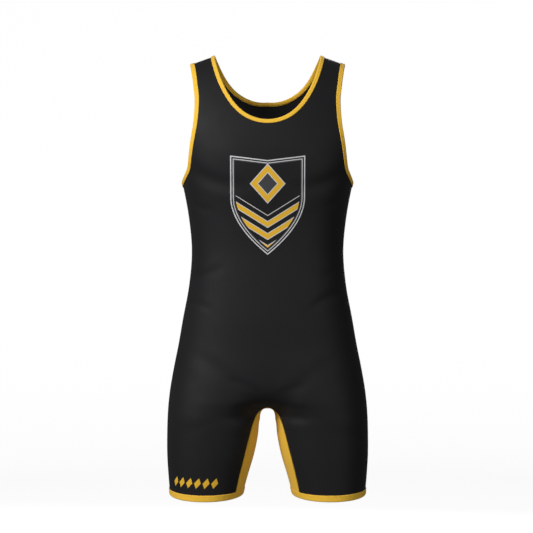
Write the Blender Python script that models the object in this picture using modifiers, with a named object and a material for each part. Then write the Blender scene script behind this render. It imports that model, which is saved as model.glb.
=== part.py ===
"""A wrestling singlet in the shape that it has when it is worn, with nobody in it.

Run with: blender --background --python part.py

Metres, +Z up, the chest faces -Y. The origin lies midway between the two shoulder seams, at their
height, because the shoulders carry the garment. The cloth is cut and sewn as the real one is: a front
and a back that meet in shoulder seams and side seams, a gusset that runs from one leg's hem under the
crotch to the other's, and folded strips that bind the neck, the armholes and the legs.

Every panel lies on one surface, which body_point works out from the girths of a general figure. A
place on it has two coordinates: the angle round the section, 0 at the middle of the trunk or of the
leg and a quarter turn at the side seam, and the way down from the shoulder along the cloth. The
right-hand half is worked out, at +X, and mirrored.
"""

import math

import bpy
import numpy as np

# Cloth and seams
CLOTH = 0.0012
BINDING_CLOTH = 0.001
SEAM_GAP = 0.0003
INNER_LEAF_GAP = 0.0005
RIDGE_GAP = 0.0011
NECK_BINDING = 0.0064
ARM_BINDING = 0.0074
LEG_BAND = 0.0110
MERGE = 0.00002

# Lengths, measured down from the shoulder seam
LEG_END = 0.8105
UNDERARM = 0.2300
SHOULDER_ROLL = 0.150
SHOULDER_SLOPE = 0.36
STRAP_MIDDLE = 0.1205
ARCHED_FROM = 0.700
HEM_ARCH = 0.0030

# The figure's sections: how far down, half the whole width, the middle of the leg, the depth in front
# of the side seam and behind it, how much squarer than an ellipse it is, how wide the cloth bridges
# the dip between the legs, and how far it tucks in under the crotch.
DOWN, HALF_WIDTH, CENTRE, FRONT, BACK, SQUARE, BRIDGE, TUCK = range(8)
FIGURE = np.array(
    [
        (0.000, 0.2050, 0.0000, 0.098, 0.093, 0.30, 0.000, 0.00),
        (0.060, 0.2000, 0.0000, 0.102, 0.100, 0.30, 0.000, 0.00),
        (0.120, 0.1900, 0.0000, 0.111, 0.107, 0.30, 0.000, 0.00),
        (0.180, 0.1720, 0.0000, 0.119, 0.108, 0.30, 0.000, 0.00),
        (0.238, 0.1570, 0.0000, 0.113, 0.100, 0.30, 0.000, 0.00),
        (0.300, 0.1459, 0.0000, 0.102, 0.087, 0.28, 0.000, 0.00),
        (0.355, 0.1413, 0.0000, 0.096, 0.079, 0.27, 0.000, 0.00),
        (0.418, 0.1461, 0.0000, 0.096, 0.086, 0.26, 0.010, 0.00),
        (0.485, 0.1583, 0.0000, 0.098, 0.104, 0.24, 0.030, 0.00),
        (0.530, 0.1661, 0.0080, 0.099, 0.117, 0.22, 0.050, 0.01),
        (0.575, 0.1751, 0.0380, 0.099, 0.123, 0.20, 0.056, 0.03),
        (0.619, 0.1825, 0.0736, 0.098, 0.120, 0.18, 0.044, 0.08),
        (0.632, 0.1840, 0.0824, 0.098, 0.117, 0.17, 0.028, 0.13),
        (0.645, 0.1853, 0.0906, 0.097, 0.112, 0.16, 0.006, 0.25),
        (0.657, 0.1861, 0.0978, 0.096, 0.108, 0.15, 0.002, 0.25),
        (0.672, 0.1868, 0.1008, 0.095, 0.104, 0.14, 0.000, 0.00),
        (0.697, 0.1874, 0.1025, 0.093, 0.097, 0.12, 0.000, 0.00),
        (0.735, 0.1873, 0.1062, 0.090, 0.089, 0.12, 0.000, 0.00),
        (0.772, 0.1852, 0.1105, 0.086, 0.081, 0.12, 0.000, 0.00),
        (0.812, 0.1819, 0.1142, 0.082, 0.072, 0.12, 0.000, 0.00),
    ]
)
TUCK_REACH = 0.045

# The cut edges, from the middle or the underarm to the shoulder. A neck row has the distance from the
# middle plane and how far down it is. An armhole row has the angle in degrees and how far down it is.
FRONT_NECK = (
    (0.0000, 0.1237),
    (0.0213, 0.1205),
    (0.0425, 0.1104),
    (0.0613, 0.0925),
    (0.0762, 0.0695),
    (0.0868, 0.0463),
    (0.0932, 0.0266),
    (0.0973, 0.0119),
    (0.0987, 0.0030),
    (0.0993, 0.0000),
)
BACK_NECK = (
    (0.0000, 0.0783),
    (0.0237, 0.0757),
    (0.0465, 0.0669),
    (0.0654, 0.0535),
    (0.0795, 0.0369),
    (0.0884, 0.0220),
    (0.0940, 0.0107),
    (0.0974, 0.0036),
    (0.0993, 0.0000),
)
FRONT_ARMHOLE = (
    (90.0, UNDERARM),
    (76.0, 0.2242),
    (65.3, 0.2113),
    (59.4, 0.1965),
    (53.4, 0.1700),
    (45.2, 0.1275),
    (41.9, 0.0864),
    (42.1, 0.0514),
    (43.1, 0.0234),
    (44.1, 0.0060),
    (44.5, 0.0000),
)
BACK_ARMHOLE = (
    (90.0, UNDERARM),
    (76.0, 0.2236),
    (64.5, 0.2080),
    (55.0, 0.1860),
    (48.5, 0.1610),
    (42.3, 0.1206),
    (39.7, 0.0820),
    (39.8, 0.0484),
    (41.6, 0.0221),
    (43.6, 0.0056),
    (44.5, 0.0000),
)

# The gusset's two seams, from the middle to the hem: distance from the middle plane and how far down
GUSSET_SEAM = (
    (0.0000, 0.6435),
    (0.0130, 0.6500),
    (0.0224, 0.6610),
    (0.0301, 0.6830),
    (0.0408, 0.7240),
    (0.0513, 0.7660),
    (0.0585, LEG_END - LEG_BAND),
    (0.0609, LEG_END),
)
SEAM_AT_BAND = len(GUSSET_SEAM) - 2
ARCH_TOP = 0.6495
ARCH_ENDS_AT = 2.5
CROTCH_WRAP = math.radians(68)

# How finely a panel is divided: strips across a half, and rows in the leg, trunk, chest and straps
ACROSS = 10
LEG_ROWS = 12
TRUNK_ROWS = 14
CHEST_ROWS = 7
STRAP_ROWS = 12
GUSSET_ACROSS = 4
HIP = 0.600
ROWS_CLOSE_UP = 1.4
CHEST_START = 0.2150
STRAP_ARMHOLE_ROW = 4

BLACK = {"name": "black_stretch_jersey", "colour": (0.012, 0.012, 0.014, 1.0), "roughness": 0.62}
YELLOW = {"name": "yellow_stretch_jersey", "colour": (0.780, 0.475, 0.045, 1.0), "roughness": 0.58}


def smooth(knots, values, at):
    """A value read between its knots, on cubic curves that pass through every knot."""
    slopes = np.gradient(values, knots)
    low = np.clip(np.searchsorted(knots, at) - 1, 0, len(knots) - 2)
    span = knots[low + 1] - knots[low]
    t = (at - knots[low]) / span
    start = (1 + 2 * t) * (1 - t) ** 2 * values[low] + t * (1 - t) ** 2 * span * slopes[low]
    end = t * t * (3 - 2 * t) * values[low + 1] - t * t * (1 - t) * span * slopes[low + 1]
    return start + end


def figure(column, drop):
    """One measure of the figure, so far below the shoulder."""
    return smooth(FIGURE[:, DOWN], FIGURE[:, column], drop)


def fall(way):
    """The height lost by going that way down: a quarter turn over the shoulder, then straight."""
    turn = np.minimum(way / SHOULDER_ROLL, math.pi / 2)
    return SHOULDER_ROLL * (1 - np.cos(turn)) + np.maximum(way - SHOULDER_ROLL * math.pi / 2, 0)


def way_down(drop):
    """The way down the cloth that loses this much height, the reverse of fall."""
    turn = np.arccos(1 - np.clip(drop / SHOULDER_ROLL, 0, 1))
    return SHOULDER_ROLL * turn + np.maximum(drop - SHOULDER_ROLL, 0)


def angle_at(across, drop):
    """The angle round the section at a distance from the middle plane."""
    centre = figure(CENTRE, drop)
    reach = figure(HALF_WIDTH, drop) - centre
    return np.arcsin(np.clip((across - centre) / reach, -1, 1))


def inner_thigh(drop):
    """How far the leg's inner edge is from the middle plane."""
    return 2 * figure(CENTRE, drop) - figure(HALF_WIDTH, drop)


def hem_arch(angle, drop):
    """How much the cloth rises from the middle of the leg to its sides, which makes the hem an arch."""
    near_hem = np.maximum(drop - ARCHED_FROM, 0) / (LEG_END - ARCHED_FROM)
    return HEM_ARCH * (near_hem * np.sin(angle)) ** 2


def body_point(angle, way, side):
    """The surface that the cloth lies on. Its section is an oval a little squarer than an ellipse. It
    narrows to the shoulder's ridge, which slopes, and it bridges the dip where the legs part."""
    drop = fall(way)
    half_width, centre = figure(HALF_WIDTH, drop), figure(CENTRE, drop)
    reach = half_width - centre
    across = centre + reach * np.sin(angle)
    bridge = figure(BRIDGE, drop) * (1 - (across / half_width) ** 2) ** 2
    shift = (np.sqrt(across**2 + bridge**2) - across) / reach
    sine = np.sin(angle) + shift
    narrowed = 1 - shift * (2 * np.sin(angle) + shift) / np.maximum(np.cos(angle) ** 2, 1e-9)
    oval = np.cos(angle) * np.sqrt(np.maximum(narrowed, 0)) * (1 + figure(SQUARE, drop) * sine**2)
    oval = oval * (1 - figure(TUCK, drop) * np.exp(-((across / TUCK_REACH) ** 2)))
    turn = np.minimum(way / SHOULDER_ROLL, math.pi / 2)
    depth = figure(side, drop) * (-1 if side == FRONT else 1)
    lift = SHOULDER_SLOPE * (STRAP_MIDDLE - across) * np.cos(turn) ** 2 + hem_arch(angle, drop)
    return np.stack([across, depth * oval * np.sin(turn), lift - drop], axis=-1)


def unit(vectors):
    return vectors / np.linalg.norm(vectors, axis=-1, keepdims=True)


def directions(angle, way, side):
    """How the surface runs with the angle and with the way down, and its outward normal."""
    step = 1e-5
    round_it = (body_point(angle + step, way, side) - body_point(angle - step, way, side)) / (2 * step)
    down_it = (body_point(angle, way + step, side) - body_point(angle, way - step, side)) / (2 * step)
    outward = unit(np.cross(round_it, down_it)) * (-1 if side == FRONT else 1)
    return round_it, down_it, outward


def line_through(rows, at):
    """A smooth line through a table's rows, level where it starts, read at row numbers. It gives the
    rows' first measure and the way down."""
    first, second = rows[0], rows[1]
    before = (2 * first[0] - second[0], second[1])
    table = np.array([before, *rows])
    numbers = np.arange(-1.0, len(rows))
    return smooth(numbers, table[:, 0], at), smooth(numbers, way_down(table[:, 1]), at)


def neck_edge(side, at):
    across, way = line_through(FRONT_NECK if side == FRONT else BACK_NECK, at)
    return angle_at(across, fall(way)), way


def armhole_edge(side, at):
    degrees, way = line_through(FRONT_ARMHOLE if side == FRONT else BACK_ARMHOLE, at)
    return np.radians(degrees), way


def gusset_edge(side, at):
    across, way = line_through(GUSSET_SEAM, at)
    return angle_at(across, fall(way)), way


def moved_in(edge, side, at, width):
    """An edge moved sideways along the cloth by a width, towards the hem where that is positive."""
    angle, way = edge(side, at)
    ahead = body_point(*edge(side, at + 0.01), side)
    behind = body_point(*edge(side, at - 0.01), side)
    round_it, down_it, outward = directions(angle, way, side)
    inward = np.cross(unit(ahead - behind), outward) * (1 if side == FRONT else -1) * width
    across_round = np.cross(outward, round_it)
    across_down = np.cross(down_it, outward)
    turned = np.sum(inward * across_down, axis=-1) / np.sum(round_it * across_down, axis=-1)
    lowered = np.sum(inward * across_round, axis=-1) / np.sum(down_it * across_round, axis=-1)
    return angle + turned, way + lowered


def side_seam(way, side):
    """The angle of a panel's edge at the side seam, a gap short of the quarter turn."""
    drop = fall(way)
    return math.pi / 2 - SEAM_GAP / (figure(side, drop) * (1 + figure(SQUARE, drop)))


def middle(way):
    """The angle at the middle plane."""
    return angle_at(0.0, fall(way))


def neck_stations(side):
    """Along the neck's edge and along its binding's lower edge, from the middle to the shoulder."""
    last = len(FRONT_NECK if side == FRONT else BACK_NECK) - 1
    at = np.linspace(0, last, STRAP_ROWS + 1)
    edge = neck_edge(side, at)
    foot = moved_in(neck_edge, side, at, NECK_BINDING)
    foot[0][0] = middle(foot[1][0])
    foot[1][-1] = 0
    return edge, foot


def armhole_stations(side):
    """Along the armhole's edge and along its binding's inner edge, from the underarm up."""
    last = len(FRONT_ARMHOLE) - 1
    low = np.linspace(0, STRAP_ARMHOLE_ROW, CHEST_ROWS + 1)
    high = np.linspace(STRAP_ARMHOLE_ROW, last, STRAP_ROWS + 1)[1:]
    at = np.concatenate([low, high])
    edge = armhole_edge(side, at)
    foot = moved_in(armhole_edge, side, at, -ARM_BINDING)
    foot[0][0] = math.pi / 2
    foot[1][-1] = 0
    return edge, foot


def panel_grid(side):
    """Angle and way at every corner of half a panel, a row for each line across it from the hem up.
    The first column is the neck's bound edge and the last is the armhole's, where there is one."""
    low_rows = np.append(SEAM_AT_BAND + 1.0, np.linspace(SEAM_AT_BAND, 0, LEG_ROWS + 1))
    seam_angle, seam_way = moved_in(gusset_edge, side, low_rows, -2 * SEAM_GAP)
    seam_angle[-1] = middle(seam_way[-1])
    seam_way[:2] = way_down(np.array([LEG_END, LEG_END - LEG_BAND]))
    neck, neck_foot = neck_stations(side)
    armhole, armhole_foot = armhole_stations(side)
    up_trunk = np.linspace(0, 1, TRUNK_ROWS + 1)[1:]
    up_chest = np.linspace(0, 1, CHEST_ROWS + 1)[1:-1]
    chest_start, neck_low = way_down(CHEST_START), neck_foot[1][0]
    trunk_way = seam_way[-1] + (chest_start - seam_way[-1]) * up_trunk**ROWS_CLOSE_UP
    chest_way = chest_start + (neck_low - chest_start) * up_chest
    inner_way = np.concatenate([seam_way, trunk_way, chest_way, neck_foot[1]])
    inner_angle = np.concatenate([seam_angle, middle(trunk_way), middle(chest_way), neck_foot[0]])
    leg_way = np.append(way_down(LEG_END), way_down(np.linspace(LEG_END - LEG_BAND, HIP, LEG_ROWS + 1)))
    flank_way = leg_way[-1] + (armhole_foot[1][0] - leg_way[-1]) * up_trunk
    outer_way = np.concatenate([leg_way, flank_way, armhole_foot[1][1:]])
    outer_angle = np.concatenate([np.full(len(leg_way) + len(flank_way), math.pi / 2), armhole_foot[0][1:]])
    across = np.linspace(0, 1, ACROSS + 1)
    angle = np.full((len(inner_way), ACROSS + 3), np.nan)
    way = angle.copy()
    angle[:, 1:-1] = inner_angle[:, None] + (outer_angle - inner_angle)[:, None] * across
    way[:, 1:-1] = inner_way[:, None] + (outer_way - inner_way)[:, None] * across
    angle[-len(neck[0]) :, 0], way[-len(neck[1]) :, 0] = neck
    angle[-len(armhole[0]) :, -1], way[-len(armhole[1]) :, -1] = armhole
    way[-1] = RIDGE_GAP
    return np.fmin(angle, side_seam(way, side)), way


def material(look):
    """A Principled material for one kind of cloth."""
    made = bpy.data.materials.get(look["name"])
    if made is None:
        made = bpy.data.materials.new(look["name"])
        made.use_nodes = True
        shader = made.node_tree.nodes["Principled BSDF"]
        shader.inputs["Base Color"].default_value = look["colour"]
        shader.inputs["Roughness"].default_value = look["roughness"]
        shader.inputs["Metallic"].default_value = 0.0
    return made


def piece(name, points, faces, look, mirrored=False, wall=None):
    """One sewn piece as an object: a sheet takes a wall's thickness, and a half takes a mirror."""
    mesh = bpy.data.meshes.new(name)
    mesh.from_pydata(points.tolist(), [], faces)
    mesh.shade_smooth()
    mesh.set_sharp_from_angle(angle=math.radians(40))
    mesh.materials.append(material(look))
    made = bpy.data.objects.new(name, mesh)
    collection.objects.link(made)
    made.parent = shoulders
    if mirrored:
        mirror = made.modifiers.new("other half", "MIRROR")
        mirror.merge_threshold = MERGE
    if wall:
        solidify = made.modifiers.new("cloth", "SOLIDIFY")
        solidify.thickness = wall
        solidify.offset = -1
    return made


def grid_faces(numbers, flipped, rising=True):
    """The triangles between the points of a grid, without the squares that lack a corner. A diagonal
    rises from the first corner to the third, or else joins the other two."""
    first, second, third, fourth = numbers[:-1, :-1], numbers[:-1, 1:], numbers[1:, 1:], numbers[1:, :-1]
    rising = np.broadcast_to(rising, first.shape)
    lower = np.stack([first, second, np.where(rising, third, fourth)], axis=-1)
    upper = np.stack([np.where(rising, first, second), third, fourth], axis=-1)
    whole = np.minimum(np.minimum(first, second), np.minimum(third, fourth)) >= 0
    corners = np.stack([lower, upper], axis=2)[whole].reshape(-1, 3)
    return (corners[:, ::-1] if flipped else corners).tolist()


def panel(name, side):
    """The front or the back, whole from the hems to the shoulder seams."""
    angle, way = panel_grid(side)
    there = ~np.isnan(angle)
    numbers = np.where(there, np.cumsum(there).reshape(there.shape) - 1, -1)
    points = body_point(angle[there], way[there], side)
    faces = grid_faces(numbers, side == BACK)
    return piece(name, points, faces, BLACK, mirrored=True, wall=CLOTH)


def gusset_half(side):
    """Half of the gusset from a seam to its fold line, a row for each station from the middle to the
    hem. On the leg the rows are level, and under the crotch they fan round the arch."""
    at = np.append(np.linspace(0, SEAM_AT_BAND, LEG_ROWS + 1), SEAM_AT_BAND + 1)
    seam_angle, seam_way = gusset_edge(side, at)
    seam = body_point(seam_angle, seam_way, side)
    drop = fall(seam_way)
    arch_foot = fall(line_through(GUSSET_SEAM, ARCH_ENDS_AT)[1])
    square = figure(SQUARE, drop)
    arch = np.clip(at / ARCH_ENDS_AT, 0, 1)
    in_arch, quarter = arch < 1, arch * math.pi / 2
    fold_across = np.where(in_arch, inner_thigh(arch_foot) * np.sin(quarter) ** 0.6, inner_thigh(drop))
    fold_drop = np.where(in_arch, arch_foot - (arch_foot - ARCH_TOP) * np.cos(quarter), drop)
    fold_rise = hem_arch(-math.pi / 2, drop)
    leg_wrap = np.abs(angle_at(seam[:, 0], np.maximum(drop, arch_foot)))
    wrap = (leg_wrap + (CROTCH_WRAP - leg_wrap) * (1 - arch))[:, None]
    turned = wrap + (math.pi / 2 - wrap) * np.linspace(0, 1, GUSSET_ACROSS + 1)
    share = ((np.sin(turned) - np.sin(wrap)) / (1 - np.sin(wrap)))[..., None]
    seam_flat, fold_flat = seam[:, [0, 2]], np.stack([fold_across, fold_rise - fold_drop], axis=-1)
    flat = seam_flat[:, None] + (fold_flat - seam_flat)[:, None] * share

    def oval(angle):
        return np.cos(angle) * (1 + square[:, None] * np.sin(angle) ** 2)

    deep = seam[:, 1][:, None] * oval(turned) / oval(wrap)
    return np.stack([flat[..., 0], deep, flat[..., 1]], axis=-1)


def gusset():
    """The crotch gusset: one strip of yellow cloth from hem to hem, widest at the hems."""
    front, back = gusset_half(FRONT), gusset_half(BACK)
    grid = np.concatenate([front, back[:, -2::-1]], axis=1)
    numbers = np.arange(grid.shape[0] * grid.shape[1]).reshape(grid.shape[:2])
    faces = grid_faces(numbers, False)
    return piece("gusset", grid.reshape(-1, 3), faces, YELLOW, mirrored=True, wall=CLOTH)


def binding(name, edge, foot, outward, foot_first, flipped=False, mirrored=False):
    """A strip folded over a raw edge. Its section goes round the cloth with a small gap: the outer
    leaf, the fold beyond the edge, and the inner leaf. Each stretch has its diagonal where the cloth's
    own is, from the foot or from the edge."""
    width = np.linalg.norm(edge - foot, axis=-1, keepdims=True)
    over = (edge - foot) / width
    up = unit(outward - over * np.sum(outward * over, axis=-1, keepdims=True))
    leaf, gap = BINDING_CLOTH, SEAM_GAP
    outer, inner = gap, -CLOTH - INNER_LEAF_GAP
    half = (outer - inner) / 2
    profile = (
        (0, inner - leaf),
        (width, inner - leaf),
        (width + gap + leaf, inner + half * 0.35),
        (width + gap + leaf, outer - half * 0.35),
        (width, outer + leaf),
        (0, outer + leaf),
        (0, outer),
        (width + gap, outer),
        (width + gap, inner),
        (0, inner),
    )
    sections = np.stack([foot + over * along + up * height for along, height in profile], axis=1)
    reach = np.array([np.max(along) for along, height in profile])
    to_edge = np.roll(reach, -1) > reach
    stations, corners = sections.shape[:2]
    numbers = np.arange(stations * corners).reshape(stations, corners)
    numbers = np.append(numbers, numbers[:, :1], axis=1)
    if not mirrored:
        numbers = np.append(numbers, numbers[:1], axis=0)
    faces = grid_faces(numbers, flipped, to_edge == foot_first[:, None])
    return piece(name, sections.reshape(-1, 3), faces, YELLOW, mirrored=mirrored)


def round_the_edge(stations):
    """The points of a bound edge that runs up the front, over the shoulder and down the back."""
    edges, feet, normals = [], [], []
    for side in (FRONT, BACK):
        edge, foot = stations(side)
        keep = slice(None) if side == FRONT else slice(-2, None, -1)
        half_way = [(a + b) / 2 for a, b in zip(edge, foot)]
        edges.append(body_point(*edge, side)[keep])
        feet.append(body_point(*foot, side)[keep])
        normals.append(directions(*half_way, side)[2][keep])
    edge, foot, outward = (np.concatenate(parts) for parts in (edges, feet, normals))
    return edge, foot, outward, np.arange(len(edge) - 1) < len(edges[0]) - 1


def neck_binding():
    edge, foot, outward, in_front = round_the_edge(neck_stations)
    for ring in (edge, foot, outward):
        ring[[0, -1], 0] = 0
    return binding("neck_binding", edge, foot, outward, ~in_front, mirrored=True)


def side_bindings(name, edge, foot, outward, foot_first):
    """The same ring on both sides of the body."""
    for side, sign in (("left", 1), ("right", -1)):
        turned = np.array([sign, 1, 1])
        ring = (edge * turned, foot * turned, outward * turned)
        binding(f"{name}_{side}", *ring, foot_first, flipped=sign == 1)


def armhole_bindings():
    edge, foot, outward, in_front = round_the_edge(armhole_stations)
    side_bindings("armhole_binding", edge[:-1], foot[:-1], outward[:-1], in_front)


def leg_ring(row, level):
    """Points and normals round a leg at a level: out from the fold line over the front, and in again
    over the back, with the gusset's seams at the given row of their table."""
    points, normals = [], []
    for side in (FRONT, BACK):
        seam = gusset_edge(side, row)[0]
        over_gusset = np.linspace(-math.pi / 2, seam, GUSSET_ACROSS + 1)[:-1]
        over_panel = np.linspace(seam, math.pi / 2, ACROSS + 1)
        turns = np.concatenate([over_gusset, over_panel])
        turns = turns if side == FRONT else turns[-2:0:-1]
        way = np.full(turns.shape, way_down(level))
        points.append(body_point(turns, way, side))
        normals.append(directions(turns, way, side)[2])
    return np.concatenate(points), np.concatenate(normals)


def hem_bands():
    """The yellow bands that are folded over the leg ends."""
    edge, _ = leg_ring(SEAM_AT_BAND + 1.0, LEG_END)
    foot, outward = leg_ring(SEAM_AT_BAND + 0.0, LEG_END - LEG_BAND)
    on_back = np.repeat([False, True, False], [GUSSET_ACROSS + ACROSS, ACROSS, GUSSET_ACROSS])
    side_bindings("hem_band", edge, foot, outward, on_back)


for old in list(bpy.data.objects):
    bpy.data.objects.remove(old)

collection = bpy.data.collections.new("wrestling_singlet")
bpy.context.scene.collection.children.link(collection)
shoulders = bpy.data.objects.new("shoulders", None)
collection.objects.link(shoulders)

panel("front_panel", FRONT)
panel("back_panel", BACK)
gusset()
neck_binding()
armhole_bindings()
hem_bands()
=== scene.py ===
import math

import bmesh
import bpy
import numpy as np
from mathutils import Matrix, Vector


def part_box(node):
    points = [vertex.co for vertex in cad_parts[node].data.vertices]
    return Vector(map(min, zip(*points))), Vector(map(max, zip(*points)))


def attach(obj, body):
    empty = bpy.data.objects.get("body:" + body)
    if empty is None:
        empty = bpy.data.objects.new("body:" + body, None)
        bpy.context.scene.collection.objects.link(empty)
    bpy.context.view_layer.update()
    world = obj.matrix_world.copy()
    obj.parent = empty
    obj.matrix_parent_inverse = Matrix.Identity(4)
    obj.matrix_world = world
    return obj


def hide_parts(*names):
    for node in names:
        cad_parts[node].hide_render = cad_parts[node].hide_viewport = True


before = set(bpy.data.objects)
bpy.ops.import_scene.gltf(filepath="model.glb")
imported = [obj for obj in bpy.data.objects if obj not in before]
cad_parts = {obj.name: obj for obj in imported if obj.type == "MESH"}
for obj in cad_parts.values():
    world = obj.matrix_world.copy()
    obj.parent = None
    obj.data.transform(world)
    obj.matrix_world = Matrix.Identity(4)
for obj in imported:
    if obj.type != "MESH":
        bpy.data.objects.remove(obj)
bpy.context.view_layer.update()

# Front panel: black stretch jersey, cut in one from the hems to the shoulder seams, and printed before it
# is sewn. It is stretched smooth over the body, with soft troughs at groin, waist, thighs and underarms.
# Metres, +Z up from the shoulder seams, the chest faces -Y, and hand is 1 at +X and -1 at -X.
CLOTH = 0.0012
SEAM_GAP = 0.00001
NECK_BINDING = 0.0064
ARM_BINDING = 0.0074
LEG_BAND = 0.0110
LEG_END = -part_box("front_panel")[0][2]
UNDERARM = 0.2300
SHOULDER_ROLL = 0.150
SHOULDER_SLOPE = 0.36
STRAP_MIDDLE = 0.1205
ARCHED_FROM = 0.700
HEM_ARCH = 0.0030
TUCK_REACH = 0.045
FOLDS_START = 0.024
RIDGE_GAP = 0.00002
MERGE = 0.000005

# The figure, a row for each height: how far down it is, the half width, the middle of the half's
# section, the depths to front and back, how square it is, how far the cloth bridges, and its tuck
DOWN, HALF_WIDTH, CENTRE, FRONT, BACK, SQUARE, BRIDGE, TUCK = range(8)
FIGURE = np.array(
    [
        (0.000, 0.2050, 0.0000, 0.098, 0.093, 0.30, 0.000, 0.00),
        (0.060, 0.2000, 0.0000, 0.102, 0.100, 0.30, 0.000, 0.00),
        (0.120, 0.1900, 0.0000, 0.111, 0.107, 0.30, 0.000, 0.00),
        (0.180, 0.1720, 0.0000, 0.119, 0.108, 0.30, 0.000, 0.00),
        (0.238, 0.1570, 0.0000, 0.113, 0.100, 0.30, 0.000, 0.00),
        (0.300, 0.1459, 0.0000, 0.102, 0.087, 0.28, 0.000, 0.00),
        (0.355, 0.1413, 0.0000, 0.096, 0.079, 0.27, 0.000, 0.00),
        (0.418, 0.1461, 0.0000, 0.096, 0.086, 0.26, 0.010, 0.00),
        (0.485, 0.1583, 0.0000, 0.098, 0.104, 0.24, 0.030, 0.00),
        (0.530, 0.1661, 0.0080, 0.099, 0.117, 0.22, 0.050, 0.01),
        (0.575, 0.1751, 0.0380, 0.099, 0.123, 0.20, 0.056, 0.03),
        (0.619, 0.1825, 0.0736, 0.098, 0.120, 0.18, 0.044, 0.08),
        (0.632, 0.1840, 0.0824, 0.098, 0.117, 0.17, 0.028, 0.13),
        (0.645, 0.1853, 0.0906, 0.097, 0.112, 0.16, 0.006, 0.25),
        (0.657, 0.1861, 0.0978, 0.096, 0.108, 0.15, 0.002, 0.25),
        (0.672, 0.1868, 0.1008, 0.095, 0.104, 0.14, 0.000, 0.00),
        (0.697, 0.1874, 0.1025, 0.093, 0.097, 0.12, 0.000, 0.00),
        (0.735, 0.1873, 0.1062, 0.090, 0.089, 0.12, 0.000, 0.00),
        (0.772, 0.1852, 0.1105, 0.086, 0.081, 0.12, 0.000, 0.00),
        (0.812, 0.1819, 0.1142, 0.082, 0.072, 0.12, 0.000, 0.00),
    ]
)

# Neck edges from the middle to the shoulder: across, and how far down
FRONT_NECK = (
    (0.0000, 0.1237),
    (0.0213, 0.1205),
    (0.0425, 0.1104),
    (0.0613, 0.0925),
    (0.0762, 0.0695),
    (0.0868, 0.0463),
    (0.0932, 0.0266),
    (0.0973, 0.0119),
    (0.0987, 0.0030),
    (0.0993, 0.0000),
)
BACK_NECK = (
    (0.0000, 0.0783),
    (0.0237, 0.0757),
    (0.0465, 0.0669),
    (0.0654, 0.0535),
    (0.0795, 0.0369),
    (0.0884, 0.0220),
    (0.0940, 0.0107),
    (0.0974, 0.0036),
    (0.0993, 0.0000),
)

# Armhole edges from the underarm to the shoulder: degrees round the section, and how far down
FRONT_ARMHOLE = (
    (90.0, UNDERARM),
    (76.0, 0.2242),
    (65.3, 0.2113),
    (59.4, 0.1965),
    (53.4, 0.1700),
    (45.2, 0.1275),
    (41.9, 0.0864),
    (42.1, 0.0514),
    (43.1, 0.0234),
    (44.1, 0.0060),
    (44.5, 0.0000),
)
BACK_ARMHOLE = (
    (90.0, UNDERARM),
    (76.0, 0.2236),
    (64.5, 0.2080),
    (55.0, 0.1860),
    (48.5, 0.1610),
    (42.3, 0.1206),
    (39.7, 0.0820),
    (39.8, 0.0484),
    (41.6, 0.0221),
    (43.6, 0.0056),
    (44.5, 0.0000),
)

# Gusset seam from the crotch's middle to the hem: across, and how far down
GUSSET_SEAM = (
    (0.0000, 0.6435),
    (0.0130, 0.6500),
    (0.0224, 0.6610),
    (0.0301, 0.6830),
    (0.0408, 0.7240),
    (0.0513, 0.7660),
    (0.0585, LEG_END - LEG_BAND),
    (0.0609, LEG_END),
)

# The panels' grids: where their stretches start, how the rows close up, and how many rows each has
SEAM_AT_BAND = len(GUSSET_SEAM) - 2
STRAP_ARMHOLE_ROW = 4
CHEST_START = 0.2150
HIP = 0.600
ROWS_CLOSE_UP = 1.4
ACROSS = 58
LEG_ROWS = 64
TRUNK_ROWS = 110
CHEST_ROWS = 40
STRAP_ROWS = 84
STEPS_ROUND = 33
STATION_STEP = 0.01

# Each fold: where it starts and ends as seen from the front, its bow, its half width and its depth
FOLDS = {
    FRONT: (
        ((-0.146, -0.206), (-0.040, -0.244), 0.008, 0.0170, 0.0026),
        ((0.144, -0.209), (0.046, -0.247), -0.009, 0.0160, 0.0023),
        ((-0.026, -0.640), (-0.132, -0.546), 0.010, 0.0190, 0.0019),
        ((0.024, -0.642), (0.124, -0.556), -0.011, 0.0180, 0.0017),
        ((-0.012, -0.616), (-0.070, -0.590), 0.004, 0.0100, 0.0009),
        ((0.014, -0.620), (0.064, -0.600), -0.003, 0.0095, 0.0008),
        ((0.156, -0.428), (0.078, -0.462), 0.006, 0.0120, 0.0022),
        ((0.150, -0.392), (0.100, -0.402), 0.003, 0.0090, 0.0010),
        ((-0.152, -0.404), (-0.082, -0.386), 0.005, 0.0110, 0.0014),
        ((-0.148, -0.452), (-0.104, -0.462), -0.003, 0.0090, 0.0010),
        ((-0.170, -0.684), (-0.098, -0.664), 0.005, 0.0150, 0.0006),
        ((0.172, -0.696), (0.112, -0.672), -0.005, 0.0160, 0.0007),
        ((-0.150, -0.262), (-0.104, -0.284), 0.003, 0.0090, 0.0012),
        ((0.146, -0.258), (0.106, -0.276), -0.002, 0.0080, 0.0009),
    ),
    BACK: (
        ((-0.118, -0.352), (0.030, -0.368), 0.006, 0.0130, 0.0022),
        ((0.122, -0.378), (-0.024, -0.392), -0.005, 0.0120, 0.0019),
        ((-0.096, -0.410), (-0.010, -0.418), 0.004, 0.0090, 0.0010),
        ((-0.012, -0.600), (-0.010, -0.470), 0.004, 0.0200, 0.0030),
        ((-0.150, -0.634), (-0.040, -0.652), -0.008, 0.0120, 0.0024),
        ((0.148, -0.630), (0.036, -0.650), 0.009, 0.0130, 0.0026),
        ((-0.142, -0.226), (-0.078, -0.262), 0.004, 0.0120, 0.0018),
        ((0.140, -0.230), (0.084, -0.258), -0.004, 0.0110, 0.0016),
        ((-0.168, -0.700), (-0.110, -0.716), 0.003, 0.0090, 0.0009),
    ),
}


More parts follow.
